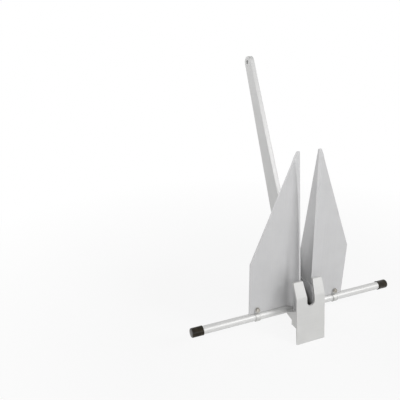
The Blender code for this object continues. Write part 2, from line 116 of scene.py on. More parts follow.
def piece(name, points, faces, finish, body, replaces, bevel=0.0):
    """Mesh from an (n, 3) array in the stock's frame and lists of corner numbers."""
    mesh = bpy.data.meshes.new(name)
    mesh.from_pydata((points.reshape(-1, 3) + STOCK).tolist(), [], faces)
    work = bmesh.new()
    work.from_mesh(mesh)
    bmesh.ops.remove_doubles(work, verts=work.verts, dist=MERGE)
    bmesh.ops.dissolve_degenerate(work, edges=work.edges, dist=MERGE)
    bmesh.ops.recalc_face_normals(work, faces=work.faces)
    work.to_mesh(mesh)
    work.free()
    mesh.shade_smooth()
    mesh.set_sharp_from_angle(angle=EDGE_ANGLE)
    mesh.materials.append(finish)
    made = bpy.data.objects.new(name, mesh)
    bpy.context.scene.collection.objects.link(made)
    if bevel:
        edge = made.modifiers.new("edge", "BEVEL")
        edge.width = bevel
        edge.segments = 2
        edge.limit_method = "ANGLE"
        edge.angle_limit = EDGE_ANGLE
        edge.harden_normals = True
        edge.use_clamp_overlap = True
    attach(made, body)
    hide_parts(*replaces)
    print(f"{name}: {len(mesh.vertices)} points, {len(mesh.polygons)} faces")
    return made


# %% [markdown]
# ## Shader maths
# A finish is a small network of nodes.  Written as arithmetic it is easier to read, so one
# class wraps a socket and lends it the signs + - and *, from either side.

# %% A socket that can be used in an expression
class Wire:
    """An output socket; arithmetic on it adds Math nodes to its network."""

    def __init__(self, network, socket):
        self.network = network
        self.socket = socket

    def maths(self, operation, first, second):
        return self.network.node("ShaderNodeMath", {"operation": operation},
                                 {0: first, 1: second})

    def __add__(self, other):
        return self.maths("ADD", self, other)

    def __radd__(self, other):
        return self.maths("ADD", other, self)

    def __sub__(self, other):
        return self.maths("SUBTRACT", self, other)

    def __rsub__(self, other):
        return self.maths("SUBTRACT", other, self)

    def __mul__(self, other):
        return self.maths("MULTIPLY", self, other)

    def __rmul__(self, other):
        return self.maths("MULTIPLY", other, self)


# %% [markdown]
# A material and a world both hold a network.  One method adds any node to it: first the
# node's settings, because they decide which sockets it has, and then values or links.

# %% A network of nodes
class Network:
    """A node tree, and the one method that adds nodes to it."""

    def __init__(self, tree):
        self.tree = tree

    def node(self, kind, settings=None, values=None, output=0):
        """Add a node: its settings first, then its sockets' values or links."""
        made = self.tree.nodes.new(kind)
        for label, value in (settings or {}).items():
            setattr(made, label, value)
        for label, value in (values or {}).items():
            if isinstance(value, Wire):
                self.link(value, made, label)
            else:
                made.inputs[label].default_value = value
        return Wire(self, made.outputs[output])

    def link(self, wire, node, label):
        self.tree.links.new(wire.socket, node.inputs[label])

    def spread(self, wire, low, high, floor=0.0, top=1.0):
        """Stretch a value's band from low to high over floor to top, and clamp it."""
        return self.node("ShaderNodeMapRange", {"clamp": True},
                         {"Value": wire, "From Min": low, "From Max": high,
                          "To Min": floor, "To Max": top})

    def seen(self):
        """1 for rays from the camera, also by way of a mirror or glass, else 0."""
        camera, glossy, through = (
            self.node("ShaderNodeLightPath", output=f"Is {kind} Ray")
            for kind in ("Camera", "Glossy", "Transmission"))
        return self.spread(camera + glossy + through, 0.0, 1.0)


# %% [markdown]
# A finish starts as one Principled shader with its plain values.  Whatever changes over the
# surface is made by nodes and then fed to a socket by name.

# %% A finish
class Finish(Network):
    """A material with one Principled shader."""

    def __init__(self, name, **plain):
        self.material = bpy.data.materials.new(name)
        self.material.use_nodes = True
        super().__init__(self.material.node_tree)
        self.shader = self.tree.nodes["Principled BSDF"]
        for label, value in plain.items():
            self.shader.inputs[label.replace("_", " ")].default_value = value

    def feed(self, label, wire):
        self.link(wire, self.shader, label)

    def place(self, scale=(1.0, 1.0, 1.0), turn=(0, 0, 0)):
        """Object coordinates from the stock's middle, turned and stretched."""
        here = self.node("ShaderNodeTexCoord", output="Object")
        turned = self.node("ShaderNodeMapping", {"vector_type": "TEXTURE"},
                           {"Vector": here, "Location": tuple(STOCK), "Rotation": turn})
        return self.node("ShaderNodeMapping", values={"Vector": turned, "Scale": scale})

    def far(self, where):
        """The length of a vector."""
        return self.node("ShaderNodeVectorMath", {"operation": "LENGTH"}, {0: where},
                         output="Value")

    def edges(self, reach):
        """0 on a face and up to 1 on its edges: how far the true normal turns away from
        one that is rounded over the reach."""
        rounded = self.node("ShaderNodeBevel", {"samples": 8}, {"Radius": reach})
        true = self.node("ShaderNodeNewGeometry", output="Normal")
        match = self.node("ShaderNodeVectorMath", {"operation": "DOT_PRODUCT"},
                          {0: rounded, 1: true}, output="Value")
        return self.spread(1.0 - match, 0.01, 0.16)

    def noise(self, where, scale, detail=3.0, roughness=0.55):
        return self.node("ShaderNodeTexNoise", {"noise_dimensions": "3D"},
                         {"Vector": where, "Scale": scale, "Detail": detail,
                          "Roughness": roughness})

    def blend(self, amount, first, second):
        """Two colours mixed by an amount from 0 to 1.  The Mix node's colour sockets are
        numbers 6 and 7 in, and 2 out; a plain colour gets its alpha of 1 here."""
        first, second = ((*color, 1) if isinstance(color, tuple) else color
                         for color in (first, second))
        return self.node("ShaderNodeMix", {"data_type": "RGBA"},
                         {0: amount, 6: first, 7: second}, output=2)

    def bump(self, height, distance, strength=1.0):
        made = self.node("ShaderNodeBump", values={
            "Height": height, "Distance": distance, "Strength": strength})
        self.feed("Normal", made)


# %% [markdown]
# ## The alloy
# The flukes, palms, crown plates and shank are extruded from aluminium and left bare.  An
# extrusion carries fine straight lines along its length, a soft cloudiness from its heat
# treatment, and a satin gloss.  Stretching a noise texture many times in one direction
# gives the lines; a slow noise gives the clouds.  Edges are rubbed a little brighter and
# smoother than the faces.  Deep in the crown, above the stock, a warm dark colour is
# painted
# on the metal: painted shade for the gaps there.  The finishes differ in direction and
# tone, so one function makes them.

# %% Satin alloy
# The colour of the painted shade deep in the crown, and where it starts, is full and
# wanders.
PAINTED_SHADE_TONE = (0.035, 0.030, 0.018)
PAINTED_SHADE_LOW, PAINTED_SHADE_FULL = 5 * MM, 22 * MM
PAINTED_SHADE_WANDER = 30 * MM
ACROSS_LINES, ALONG_LINES = 900.0, 9.0


def satin_alloy(name, tone, along, turn=(0, 0, 0), metal=0.25, gloss=0.46, painted_shade=None):
    """Bare extruded alloy: tone is its colour, along the axis of its fine lines, and the
    last argument the two distances from the stock's middle between which the painted shade
    ends.
    The painted shade is a warm dark colour, painted where the crown's gaps lie in shade.
    It
    lies only above the stock: it starts at one height and is full at the other."""
    dark = tuple(0.95 * c for c in tone)
    light = tuple(1.03 * c for c in tone)
    rubbed_tone = tuple(1.10 * c for c in tone)
    finish = Finish(name, Metallic=metal)
    stretch = [ACROSS_LINES] * 3
    stretch["xyz".index(along)] = ALONG_LINES
    lines = finish.noise(finish.place(tuple(stretch), turn), 1.0, detail=4.0)
    clouds = finish.noise(finish.place(turn=turn), 22.0, detail=3.0)
    grain = finish.noise(finish.place(), 1800.0, detail=1.0)
    rubbed = finish.edges(0.8 * MM)
    mottle = finish.spread(clouds * 0.5 + lines * 0.5, 0.34, 0.66)
    color = finish.blend(rubbed, finish.blend(mottle, dark, light), rubbed_tone)
    # Painted shade: near the stock and above it, the colour is blended to a warm dark tone
    # that stands for the shade in the crown's gaps.
    if painted_shade:
        here = finish.place()
        reach = finish.far(here) + PAINTED_SHADE_WANDER * (clouds - 0.5)
        near = 1.0 - finish.spread(reach, *painted_shade)
        height = finish.node("ShaderNodeSeparateXYZ", values={"Vector": here}, output="Z")
        above = finish.spread(height, PAINTED_SHADE_LOW, PAINTED_SHADE_FULL)
        color = finish.blend(near * above, color, PAINTED_SHADE_TONE)
    finish.feed("Base Color", color)
    finish.feed("Roughness", gloss + 0.30 * (lines - 0.5) + 0.12 * (clouds - 0.5)
                - 0.08 * rubbed)
    finish.bump(lines * 0.8 + grain * 0.2, 0.08 * MM, 0.7)
    return finish.material


_, shank_middle = node_size("shank")
lean = np.arctan2(shank_middle[1], shank_middle[2])
fluke_alloy = satin_alloy("fluke_alloy", (0.65, 0.65, 0.655), "z")
palm_alloy = satin_alloy("palm_alloy", (0.70, 0.70, 0.688), "x")
# The shank and the crown plates get painted shade near the stock.
shank_alloy = satin_alloy("shank_alloy", (0.68, 0.68, 0.675), "z", turn=(-lean, 0, 0),
                          painted_shade=(30 * MM, 60 * MM))
plate_alloy = satin_alloy("plate_alloy", (0.65, 0.65, 0.655), "z",
                          painted_shade=(46 * MM, 70 * MM))
tube_alloy = satin_alloy("tube_alloy", (0.72, 0.72, 0.712), "x", metal=0.4, gloss=0.46)
print("shank leans", np.degrees(lean).round(1), "degrees")

# %% [markdown]
# The straps, bolts, nuts and washers are stainless steel.  The straps are pale rolled
# sheet; the fasteners are darker, a little browner and more mirror-like.

# %% Stainless steel
def stainless_steel(name, dark, light, gloss):
    """Steel mottled between a dark and a light tone, with its roughness around gloss."""
    finish = Finish(name, Metallic=1.0)
    clouds = finish.noise(finish.place(), 160.0, detail=3.0)
    mottle = finish.spread(clouds, 0.35, 0.65)
    rubbed = finish.edges(0.4 * MM)
    worn = tuple(min(1.0, 1.15 * c) for c in light)
    tone = finish.blend(mottle, dark, light)
    finish.feed("Base Color", finish.blend(rubbed, tone, worn))
    finish.feed("Roughness", gloss + 0.16 * (clouds - 0.5))
    finish.bump(clouds, 0.03 * MM, 0.3)
    return finish.material


strap_steel = stainless_steel("strap_steel", (0.49, 0.49, 0.48), (0.63, 0.63, 0.62), 0.56)
bolt_steel = stainless_steel("bolt_steel", (0.34, 0.32, 0.28), (0.61, 0.59, 0.55), 0.38)
print("steels:", strap_steel.name, bolt_steel.name)

# %% [markdown]
# The caps are soft black vinyl, dipped or moulded.  They have a weak sheen and a fine
# pebble.  Dust turns the black slightly brown.  The end faces are painted grey: a painted
# reflection of the light on the ends.

# %% Black vinyl
CAP_END_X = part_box("stock_cap_right")[1][0]
# Where the painted reflection on the end faces wanders, is full and ends.
PAINTED_REFLECTION_WANDER, PAINTED_REFLECTION_FULL, PAINTED_REFLECTION_END = 4 * MM, 0.6 * MM, 2.4 * MM


def black_vinyl():
    """Black with brownish dust; the painted reflection, a grey painted on the end faces,
    ends between two distances from the end face, which wander with the dust."""
    finish = Finish("black_vinyl", Specular_IOR_Level=0.2)
    where = finish.place()
    pebble = finish.noise(where, 2200.0, detail=2.0)
    dust = finish.noise(where, 90.0, detail=4.0)
    dusty = finish.spread(dust, 0.42, 0.72)
    black = finish.blend(dusty, (0.012, 0.009, 0.004), (0.040, 0.031, 0.016))
    end = CAP_END_X - finish.far(where)
    # Painted reflection: a grey painted into the base colour at the end faces.
    painted_reflection = 1.0 - finish.spread(end + PAINTED_REFLECTION_WANDER * (dust - 0.5), PAINTED_REFLECTION_FULL, PAINTED_REFLECTION_END)
    finish.feed("Base Color", finish.blend(painted_reflection, black, (0.17, 0.165, 0.16)))
    finish.feed("Roughness", 0.20 + 0.2 * dust)
    finish.bump(pebble, 0.06 * MM, 0.35)
    return finish.material


vinyl = black_vinyl()
print(f"caps end {CAP_END_X / MM:.1f} mm from the middle")

# %% [markdown]
# ## Turned pieces
# The stock, its caps and all fasteners are round about an axis.  A profile is a list of
# places on the axis with a radius at each; turning it is one multiplication by the cosine
# and the sine of the angle.  A hexagon is turned the same way: its radius at an angle is
# its half width over flats divided by the cosine of the angle from the nearest flat.

# %% Turn a profile about X
def turned(along, radius, sides=96, flats=None, closed=True):
    """Points (x, r cos a, r sin a) for each place and angle a; where flats is given, r is
    cut down to the hexagon of that half width.  Closed joins the last ring to the first."""
    angle = np.linspace(0, 2 * np.pi, sides, endpoint=False)
    ring = np.repeat(np.asarray(radius, float)[:, None], sides, axis=1)
    if flats is not None:
        hexagon = np.asarray(flats, float)[:, None] / np.cos(
            np.mod(angle, np.pi / 3) - np.pi / 6)
        ring = np.minimum(ring, hexagon)
    place = np.repeat(np.asarray(along, float)[:, None], sides, axis=1)
    points = np.stack([place, ring * np.cos(angle), ring * np.sin(angle)], axis=-1)
    faces = grid_faces(len(along), sides, close_rows=closed, close_columns=True)
    return points, faces.tolist()


def round_edge(x, r, size, start, end, steps=6):
    """Places and radii on a quarter circle round (x, r), from angle start to end."""
    angle = np.radians(np.linspace(start, end, steps))
    return x + size * np.cos(angle), r + size * np.sin(angle)


# %% [markdown]
# The stock is a drawn tube.  Its ends are square cut and hidden in the caps.

# %% Stock tube
tube_size, _ = node_size("stock_tube")
TUBE_HALF = tube_size[0] / 2
TUBE_RADIUS = tube_size[1] / 2
TUBE_WALL = 2.0 * MM
tube_inside = TUBE_RADIUS - TUBE_WALL
points, faces = turned([-TUBE_HALF, TUBE_HALF, TUBE_HALF, -TUBE_HALF],
                       [TUBE_RADIUS, TUBE_RADIUS, tube_inside, tube_inside], sides=128)
piece("stock_tube_drawn", points, faces, tube_alloy, CROWN, ["stock_tube"],
      bevel=0.3 * MM)

# %% [markdown]
# A cap is a cup: its profile runs out along the inside, round the mouth's thick lip, back
# along the outside and over a rounded shoulder to the middle of the end face, which is a
# little domed.  The left cap is the right one with its places counted the other way.

# %% Caps
cap_size, _ = node_size("stock_cap_right")
CAP_WALL, CAP_END_WALL = 1.1 * MM, 4 * MM
CAP_LIP, CAP_LIP_LONG = 0.3 * MM, 2 * MM
CAP_RIM = 0.6 * MM
CAP_SHOULDER = 3.2 * MM
CAP_DOME = 0.5 * MM


def cap(name, side):
    """The dome's place falls from the end face with the square of the radius."""
    end = CAP_END_X
    mouth = end - cap_size[0]
    lip = cap_size[1] / 2
    bore = TUBE_RADIUS + FIT
    outer = bore + CAP_WALL
    floor = end - CAP_END_WALL
    lip_end = mouth + CAP_LIP_LONG
    lip_x, lip_r = round_edge(mouth + CAP_RIM, lip - CAP_RIM, CAP_RIM, 180, 90)
    shoulder_x, shoulder_r = round_edge(end - CAP_DOME - CAP_SHOULDER, outer - CAP_SHOULDER,
                                        CAP_SHOULDER, 90, 12, steps=9)
    dome_r = np.linspace(shoulder_r[-1], 0, 8)[1:]
    dome_x = end - (end - shoulder_x[-1]) * (dome_r / shoulder_r[-1]) ** 2
    along = np.concatenate([[floor, floor, mouth], lip_x, [lip_end, lip_end + CAP_RIM],
                            shoulder_x, dome_x])
    radius = np.concatenate([[0, bore, bore], lip_r, [outer + CAP_LIP, outer],
                             shoulder_r, dome_r])
    points, faces = turned(side * along, radius, sides=96, closed=False)
    piece(name + "_moulded", points, faces, vinyl, CROWN, [name])


cap("stock_cap_left", -1)
cap("stock_cap_right", 1)

# %% [markdown]
# ## Slabs
# The flukes, the palms, the crown plates and the shank are all slabs: a front sheet and a
# back sheet over the same flat outline, and a wall round the edge.  The outline is given
# row by row, by where the row starts and where it ends, so both sheets are one grid.  A
# step in a face is two columns or two rows at the same place.

# %% Two sheets and a wall
def slab(front, back):
    """Closed solid between two equal grids of points.  The wall joins their rims."""
    rows, columns = front.shape[:2]
    sheet = grid_faces(rows, columns)
    numbers = np.arange(rows * columns).reshape(rows, columns)
    rim = np.concatenate([numbers[0, :-1], numbers[:-1, -1], numbers[-1, :0:-1],
                          numbers[:0:-1, 0]])
    following = np.roll(rim, -1)
    other = rows * columns
    wall = np.stack([rim, following, following + other, rim + other], axis=-1)
    points = np.concatenate([front.reshape(-1, 3), back.reshape(-1, 3)])
    faces = np.concatenate([sheet, sheet[:, ::-1] + other, wall])
    return points, faces.tolist()


# %% [markdown]
# The stock runs through the flukes, the crown plates and the shank.  Each of them has a
# round bore for it, a little wider than the tube.  A boolean could cut it, but leaves
# long thin faces; here a row of the grid that crosses the bore keeps clear of it by half
# the bore's chord, and the rows lie close together there.

# %% Bore for the stock
BORE = round(TUBE_RADIUS + FIT, 5)
bore_rows = BORE * np.sin(np.linspace(-np.pi / 2, np.pi / 2, 33))


def half_chord(z):
    """Half the width of the bore at a height from its axis: sqrt(R^2 - z^2), or none."""
    return np.sqrt(np.clip(BORE ** 2 - z ** 2, 0, None))


def bored_slab(front, back):
    """Two slabs, before and behind the middle, whose inner sheets stand half a chord
    apart.  Above and below the bore they meet, and the faces between them go."""
    before, behind = front.copy(), back.copy()
    before[..., 1], behind[..., 1] = -half_chord(front[..., 2]), half_chord(back[..., 2])
    first, first_faces = slab(front, before)
    second, second_faces = slab(behind, back)
    points = np.concatenate([first, second])
    faces = np.array(first_faces + (np.array(second_faces) + len(first)).tolist())
    shared = (np.abs(points[:, 1]) < 1e-9)[faces].all(axis=1)
    return points, faces[~shared].tolist()


# %% [markdown]
# ### Flukes
# A fluke is cut from one T-section: a thin wing and, along its inner edge, a flange that
# stands out to the front and to the rear.  A large hollow fillet joins them.  The flange
# is cut to a long taper, so near the tip the cut eats into the fillet.  Each row of the
# grid is one height; across it run the flange's edge, its side, the fillet and the wing.

# %% Fluke sizes
fluke_size, fluke_middle = node_size("fluke_right")
FLANGE_GAP, FLANGE_GAP_TIP = 13.2 * MM, 27.3 * MM
TIP_Z = fluke_middle[2] + fluke_size[2] / 2
FOOT_Z = fluke_middle[2] - fluke_size[2] / 2
FLANGE = 4.5 * MM
WING = 3.6 * MM
FILLET = 18 * MM
HALF_DEPTH, HALF_DEPTH_TIP = fluke_size[1] / 2, 1.8 * MM
CORNER_X, CORNER_Z = 148 * MM, 157 * MM
HEEL_X = 145 * MM
TIP_WIDTH = 8 * MM
WING_FOOT = TUBE_RADIUS + 0.6 * MM
SPLAY = (FLANGE_GAP_TIP - FLANGE_GAP) / TIP_Z
print(f"fluke tip {TIP_Z / MM:.1f} mm above the stock's axis")

# %% [markdown]
# Below the wing's foot only the flange goes on, round the stock.  Its side and its fillet
# would stand out there, so their columns all fold onto the flange's own face.

# %% Fluke surface
def fluke_grid(side):
    """For each height: half depth is a straight taper, the wing's outer edge two straight
    lines; the fillet's x is flange + R - sqrt(R^2 - u^2), u its depth below its start."""
    wing_rows = np.concatenate([np.linspace(WING_FOOT, CORNER_Z, 40),
                                np.linspace(CORNER_Z, TIP_Z, 130)[1:]])
    flange_rows = np.concatenate([[FOOT_Z], bore_rows, [WING_FOOT]])
    z = np.concatenate([flange_rows, wing_rows])[:, None]
    on_wing = (np.arange(len(z)) >= len(flange_rows))[:, None]
    depth = HALF_DEPTH + (HALF_DEPTH_TIP - HALF_DEPTH) * np.clip(z / TIP_Z, 0, 1)
    inner = FLANGE_GAP + SPLAY * z
    to_corner = (z - WING_FOOT) / (CORNER_Z - WING_FOOT)
    to_tip = (z - CORNER_Z) / (TIP_Z - CORNER_Z)
    edge = np.where(z < CORNER_Z, HEEL_X + (CORNER_X - HEEL_X) * to_corner,
                    CORNER_X + (FLANGE_GAP_TIP + TIP_WIDTH - CORNER_X) * to_tip)
    width = edge - inner
    rim = WING / 2 + FILLET
    high = np.minimum(depth, rim)
    reach = np.clip(FLANGE + FILLET - width, 0, FILLET)
    low = np.minimum(high, rim - np.sqrt(FILLET ** 2 - reach ** 2))
    turn = np.linspace(0, np.pi / 2, 14)[None, :]
    share = 1 - np.sin(turn)
    fillet_y = low + (high - low) * share
    below = rim - fillet_y
    fillet_x = FLANGE + FILLET - np.sqrt(np.clip(FILLET ** 2 - below ** 2, 0, None))
    start_x = np.where(depth > rim, FLANGE, fillet_x[:, :1])
    x = np.hstack([0 * z, start_x, fillet_x, width + 0 * z])
    y = np.hstack([depth, depth, fillet_y, low])
    flange_only = FLANGE - FIT
    x = np.where(on_wing, np.minimum(x, width), np.minimum(x, flange_only))
    under_wing = (np.arange(len(z)) < len(flange_rows) - 1)[:, None]
    y = np.where(under_wing, depth, y)
    across = side * (inner + x)
    rows = np.broadcast_to(z, x.shape)
    return [np.stack([across, face * y, rows], axis=-1) for face in (-1, 1)]


for name, side in (("fluke_left", -1), ("fluke_right", 1)):
    points, faces = bored_slab(*fluke_grid(side))
    piece(name + "_extruded", points, faces, fluke_alloy, CROWN, [name],
          bevel=0.45 * MM)

# %% [markdown]
# ### Shank
# The shank's outline is a large circle round the stock, a small one round the shackle eye
# and the two lines that touch both.  It is drawn upright, half by half, each half starting
# on the bore or the eye where a row crosses one, and then leaned back onto its stop.

# %% Shank sizes
HEEL_RADIUS, EYE_END = 34 * MM, 15.55 * MM
SHANK_LENGTH = 688 * MM
EYE = 5.6 * MM
SHANK_LEAN = np.radians(27)
taper = np.arcsin((HEEL_RADIUS - EYE_END) / SHANK_LENGTH)
SHANK_HALF = node_size("shank")[0][0] / 2
print(f"shank {2 * SHANK_HALF / MM:.1f} mm thick, its sides taper "
      f"{np.degrees(taper):.2f} degrees")

# %% [markdown]
# The rows of the shank's grid are heights.  They only need to be close together where the
# outline, the bore or the eye turns round; the long straight part has a dozen.

# %% Shank rows

def shank_rows():
    """Heights, close together where the outline or the eye turns round."""
    def round_part(radius, start, end, steps):
        return radius * np.sin(np.linspace(start, end, steps))
    heel = round_part(HEEL_RADIUS, -np.pi / 2, taper, 28)
    eye = SHANK_LENGTH + round_part(EYE, -np.pi / 2, np.pi / 2, 21)
    top = SHANK_LENGTH + round_part(EYE_END, taper, np.pi / 2, 20)
    plain = np.linspace(heel[-1], SHANK_LENGTH - 1.2 * EYE, 12)[1:]
    return np.unique(np.concatenate([heel, bore_rows, plain, eye, top]).round(5))


print("shank rows:", len(shank_rows()))

# %% [markdown]
# The shank's edges are rounded by a formula.  A bevel would be kept too narrow by the
# close rows at the eye.  Instead the nearer a point is to the outline, the more it sinks,
# as on a quarter circle.

# %% Rounded edge of the shank
EDGE_ROUND = 1.6 * MM


def inside_outline(y, z):
    """Distance from the outline: to the heel's circle, the end's circle, or the tangent
    between them, whose points have y cos(taper) + z sin(taper) = the heel's radius."""
    along = z * np.cos(taper) - y * np.sin(taper)
    to_line = HEEL_RADIUS - y * np.cos(taper) - z * np.sin(taper)
    to_heel = HEEL_RADIUS - np.hypot(y, z)
    to_end = EYE_END - np.hypot(y, z - SHANK_LENGTH)
    return np.where(along < 0, to_heel,
                    np.where(along > SHANK_LENGTH * np.cos(taper), to_end, to_line))


def sunk(y, z):
    """How far the side sinks: R - sqrt(R^2 - u^2), where u is how far the point has come
    into the rounding."""
    into = np.clip(EDGE_ROUND - inside_outline(y, z), 0, EDGE_ROUND)
    return EDGE_ROUND - np.sqrt(EDGE_ROUND ** 2 - into ** 2)


print(f"edge rounded by {sunk(HEEL_RADIUS, 0.0) / MM:.1f} mm")

# %% [markdown]
# Now each row runs from the inside to the outline, with seven of its columns in the
# rounding.  The two sheets stand the shank's thickness apart and sink at the edge.

# %% Shank surface
def shank_half(sign):
    """Depth at a height: the heel circle, the tangent line or the end circle, from half
    the chord of the bore or the eye where a row crosses one of them."""
    z = shank_rows()
    heel = np.sqrt(np.clip(HEEL_RADIUS ** 2 - z ** 2, 0, None))
    end = np.sqrt(np.clip(EYE_END ** 2 - (z - SHANK_LENGTH) ** 2, 0, None))
    line = (HEEL_RADIUS - z * np.sin(taper)) / np.cos(taper)
    outer = np.where(z < HEEL_RADIUS * np.sin(taper), heel,
                     np.where(z > SHANK_LENGTH + EYE_END * np.sin(taper), end, line))
    inner = half_chord(z) + np.sqrt(np.clip(EYE ** 2 - (z - SHANK_LENGTH) ** 2, 0, None))
    middle = ((inner + outer) / 2)[:, None]
    turn = EDGE_ROUND * (1 - np.sin(np.linspace(0, np.pi / 2, 7)))
    near_edge = np.concatenate([[EDGE_ROUND + 0.4 * MM], turn])
    depth = np.hstack([inner[:, None], middle,
                       np.maximum(outer[:, None] - near_edge, middle)])
    rows = np.broadcast_to(z[:, None], depth.shape)
    across = SHANK_HALF - sunk(depth, rows)
    depth = sign * depth
    leaned_y = depth * np.cos(SHANK_LEAN) + rows * np.sin(SHANK_LEAN)
    leaned_z = rows * np.cos(SHANK_LEAN) - depth * np.sin(SHANK_LEAN)
    return (np.stack([across, leaned_y, leaned_z], axis=-1),
            np.stack([-across, leaned_y, leaned_z], axis=-1))


# %% [markdown]
# The two halves share the middle line, so the wall between them has to go: a half gives
# only its two sheets and the walls at its outline and in the eye, and merging joins them.

# %% Join the two halves
def sheets_and_walls(front, back, open_columns):
    """As slab, without the wall where open_columns says that the row starts in the middle
    of the piece, where the other half carries on."""
    points, faces = slab(front, back)
    rows, columns = front.shape[:2]
    other = rows * columns
    start = np.arange(rows) * columns
    middle = set(start[open_columns].tolist())
    kept = [f for f in faces
            if not ({f[0] % other, f[1] % other} <= middle and f[2] >= other > f[1])]
    return points, kept


def two_halves(right, left, open_columns):
    first, first_faces = sheets_and_walls(*right, open_columns)
    second, second_faces = sheets_and_walls(*left, open_columns)
    shift = len(first)
    second_faces = [[corner + shift for corner in f] for f in second_faces]
    return np.concatenate([first, second]), first_faces + second_faces


shank_heights = shank_rows()
plain_rows = ((np.abs(shank_heights - SHANK_LENGTH) >= EYE - 1e-6)
              & (np.abs(shank_heights) >= BORE - 1e-6))
points, faces = two_halves(shank_half(1), shank_half(-1), plain_rows)
piece("shank_bar", points, faces, shank_alloy, SHANK, ["shank"])

# %% [markdown]
# ### Palms
# A palm is one extrusion seen from its end: a raked plate, two ears that lean inwards over
# a bend, and a stepped rib behind.  The slot for the shank is cut straight through, round
# at its floor and a little flared at its mouth.  Behind, the rib is milled away for the
# crown plates and the flanges, and one pocket takes the nut of the crown bolt.

# %% Palm sizes
palm_size, palm_middle = node_size("palm_front")
PALM_HALF = palm_size[0] / 2
PALM_FOOT_Z = palm_middle[2] - palm_size[2] / 2
PALM_TOP_Z = palm_middle[2] + palm_size[2] / 2
PALM_FOOT_Y = palm_middle[1] - palm_size[1] / 2
BEND_Y, BEND_Z, EAR_Y = -60.0 * MM, 64.0 * MM, -40.0 * MM
BEND_ROUND = 2.2 * MM
PALM_PLATE, PALM_FOOT_PLATE = 4.5 * MM, 3.4 * MM
RIB_REAR, RIB_STEP_Y = -20 * MM, -45 * MM
RIB_LOW, RIB_STEP_Z, RIB_NOSE = -16.5 * MM, -3.7 * MM, (1.5 * MM, 6 * MM)
RIB_TOP = 20 * MM
SLOT_HALF, SLOT_FLARE = 11.3 * MM, 3.7 * MM
EAR_CORNER = 2.0 * MM
RAKE = (BEND_Y - PALM_FOOT_Y) / (BEND_Z - PALM_FOOT_Z)
EAR_RAKE = (EAR_Y - BEND_Y) / (PALM_TOP_Z - BEND_Z)
PLATE_NOTCH, PLATE_NOTCH_Y = FLANGE_GAP, -42.35 * MM
FLANGE_NOTCH = FLANGE_GAP + FLANGE + FIT
LAND = 0.6 * MM
POCKET = FLANGE_GAP - FIT + 11.5 * MM
POCKET_END = POCKET + 9.2 * MM
CROWN_BOLT_Y, CROWN_BOLT_Z = 50.0 * MM, 2.0 * MM
POCKET_Y = -CROWN_BOLT_Y - 8 * MM


def palm_front(z):
    """Two straight lines joined by a hyperbola, which rounds the bend."""
    past = z - BEND_Z
    bent = (past + np.sqrt(past ** 2 + BEND_ROUND ** 2)) / 2
    return PALM_FOOT_Y + RAKE * (z - PALM_FOOT_Z) + (EAR_RAKE - RAKE) * bent


def plate_back(z):
    """The front moved back by the plate's thickness along its own normal."""
    step = 0.1 * MM
    slope = (palm_front(z + step) - palm_front(z - step)) / (2 * step)
    thin = np.clip((z - PALM_FOOT_Z) / (RIB_LOW - PALM_FOOT_Z), 0, 1)
    plate = PALM_FOOT_PLATE + (PALM_PLATE - PALM_FOOT_PLATE) * thin
    return palm_front(z) + plate * np.hypot(1, slope)


AXIS_BACK = float(plate_back(np.array([0.0]))[0])


# %% [markdown]
# The shank stops on the floor of the slot.  So the floor's height follows from the lean:
# it is where the shank's lower face, one fit away, meets the back of the plate.

# %% Slot floor
def slot_floor():
    """The shank's lower face rests on the round floor, at its own half thickness."""
    face = SHANK_LEAN - taper
    touch = ((-AXIS_BACK * np.cos(face) - HEEL_RADIUS - FIT)
             / (np.sin(face) + RAKE * np.cos(face)))
    return touch - SLOT_HALF + np.sqrt(SLOT_HALF ** 2 - SHANK_HALF ** 2)


SLOT_FLOOR = slot_floor()
print("slot floor", (SLOT_FLOOR / MM).round(1), "mm above the stock's axis")

# %% [markdown]
# A palm is drawn half by half too, from the slot to its end.  Its back is the plate's,
# the rib's or the bottom of a notch, whichever the column belongs to, and every milled
# step is two columns at the same place.

# %% Palm surface
def palm_rows():
    """Heights, close together at the slot's floor, the bend and the ears' corners."""
    floor = SLOT_FLOOR + SLOT_HALF * (1 - np.cos(np.linspace(0, np.pi / 2, 16)))
    bend = BEND_Z + np.linspace(-7, 7, 13) * MM
    undercut = RIB_LOW - 1.2 * MM
    plain = np.array([PALM_FOOT_Z, -40 * MM, undercut, RIB_LOW, RIB_STEP_Z, *RIB_NOSE,
                      RIB_TOP, 30 * MM])
    ears = np.linspace(74 * MM, PALM_TOP_Z - EAR_CORNER, 5)
    corner = PALM_TOP_Z - EAR_CORNER * (1 - np.sin(np.linspace(0, np.pi / 2, 7)))
    return np.unique(np.concatenate([plain, floor, bend, ears, corner]).round(7))


def rib_back(z):
    """The rib's rear outline by height; in front of it there is only the plate."""
    heights = np.array([RIB_STEP_Z, RIB_NOSE[0], RIB_NOSE[1], RIB_TOP])
    depths = np.array([RIB_STEP_Y, RIB_REAR, RIB_REAR, RIB_STEP_Y])
    nose = np.interp(z, heights, depths)
    root = RIB_STEP_Y + (z - RIB_TOP) * (RIB_STEP_Y - RIB_REAR) / (RIB_TOP - RIB_NOSE[1])
    outline = np.where(z < RIB_STEP_Z, RIB_STEP_Y, np.where(z > RIB_TOP, root, nose))
    return np.where(z < RIB_LOW, -1.0, np.maximum(outline, plate_back(z)))


